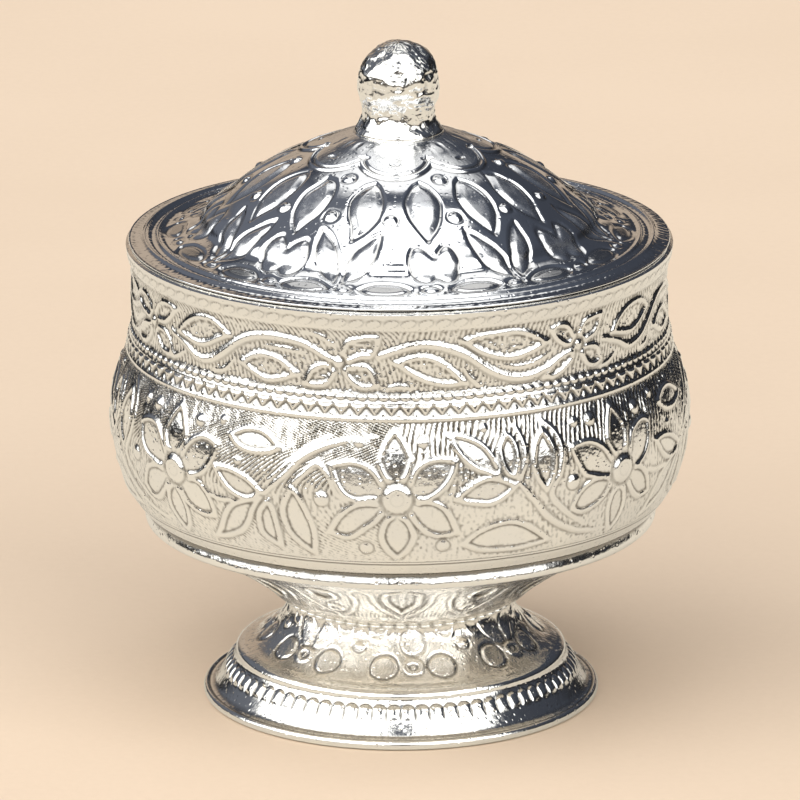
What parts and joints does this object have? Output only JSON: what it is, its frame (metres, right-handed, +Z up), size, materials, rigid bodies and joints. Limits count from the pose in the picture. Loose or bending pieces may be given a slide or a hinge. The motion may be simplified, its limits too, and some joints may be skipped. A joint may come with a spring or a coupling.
{
  "type": "lidded kumkum box",
  "caption": "Round footed bowl of embossed silver-plated sheet with a lift-off domed lid, bulb knob, vine scroll neck, flower belly and flared foot.",
  "frame": {"origin": "centre of the foot's base circle, on the surface the box stands on", "axes": "+Z up the axis of the bowl and lid to the knob; -Y is the side seen in the picture, +X to its right"},
  "size_m": [0.0646, 0.0646, 0.0744],
  "materials": {
    "silver_embossed": "bright silver plate on embossed sheet",
    "silver_plain": "bright silver plate, plain",
    "brass_fixings": "turned brass"
  },
  "bodies": {
    "bowl": {"bowl_casing": "silver_embossed", "bowl_dish": "silver_embossed", "waist_collar": "silver_plain", "foot_bell": "silver_embossed", "foot_screw": "brass_fixings", "foot_washer": "brass_fixings", "foot_nut": "brass_fixings"},
    "lid": {"lid_shell": "silver_embossed", "lid_collar": "silver_plain", "finial_knob": "silver_plain", "finial_stud": "brass_fixings", "finial_washer": "brass_fixings", "finial_nut": "brass_fixings"}
  },
  "joints": [
    {"name": "lid_lift", "type": "slide", "parent": "bowl", "child": "lid", "axis": [0, 0, 1], "range_m": [0, 0.06]}
  ]
}
